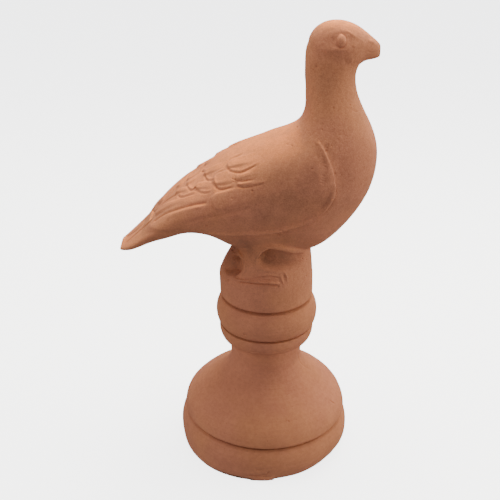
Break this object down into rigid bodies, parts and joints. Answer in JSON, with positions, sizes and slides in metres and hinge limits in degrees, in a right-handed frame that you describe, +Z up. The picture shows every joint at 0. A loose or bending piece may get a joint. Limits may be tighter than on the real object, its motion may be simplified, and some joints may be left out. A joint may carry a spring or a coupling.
{
  "type": "ridge finial",
  "caption": "Roof ridge finial in matt terracotta: a dove with folded wings perched on a turned pedestal with a bell foot, hollowed from below.",
  "frame": {"origin": "on the plane of the underside, under the middle of the whole object's box; the pedestal's axis stands 18.5 mm towards +X from it", "axes": "+Z up along the pedestal's axis, +X the way the dove looks, +Y to the dove's left"},
  "size_m": [0.2184, 0.1578, 0.3999],
  "materials": {
    "terracotta": "unglazed, matt, fired clay with fine pores and scratches"
  },
  "bodies": {
    "root": {"dove_finial": "terracotta"}
  },
  "joints": []
}
